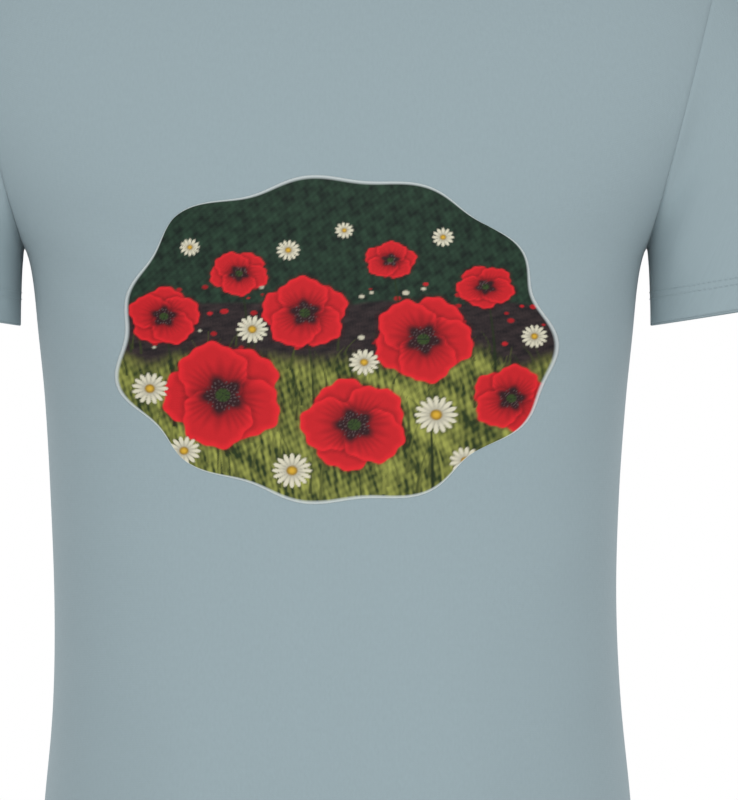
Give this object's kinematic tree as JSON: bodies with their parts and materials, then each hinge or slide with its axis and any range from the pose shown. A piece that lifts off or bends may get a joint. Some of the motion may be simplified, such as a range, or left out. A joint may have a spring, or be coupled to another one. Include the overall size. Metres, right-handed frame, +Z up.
{
  "type": "crew-neck t-shirt",
  "caption": "Short-sleeved crew-neck T-shirt in its worn shape, hollow, with a rib collar, turned hems and a wavy-edged chest print.",
  "frame": {"origin": "midway between the two high shoulder points, in the neck opening", "axes": "+Z up along the wearer's height, front of the shirt towards -Y, wearer's left at +X"},
  "size_m": [0.637, 0.2386, 0.7164],
  "materials": {
    "jersey": "matt single jersey",
    "rib_knit": "matt rib knit",
    "tape": "matt jersey tape",
    "seam_thread": "overlocked thread",
    "print_ink": "soft ink on cloth"
  },
  "bodies": {
    "root": {"front_panel": "jersey", "back_panel": "jersey", "collar_rib": "rib_knit", "neck_tape": "tape", "hem_turn": "jersey", "chest_print": "print_ink", "left_sleeve": "jersey", "left_sleeve_hem_turn": "jersey", "left_armhole_seam": "seam_thread", "left_shoulder_seam": "seam_thread", "left_side_seam": "seam_thread", "left_underarm_seam": "seam_thread", "right_sleeve": "jersey", "right_sleeve_hem_turn": "jersey", "right_armhole_seam": "seam_thread", "right_shoulder_seam": "seam_thread", "right_side_seam": "seam_thread", "right_underarm_seam": "seam_thread"}
  },
  "joints": []
}
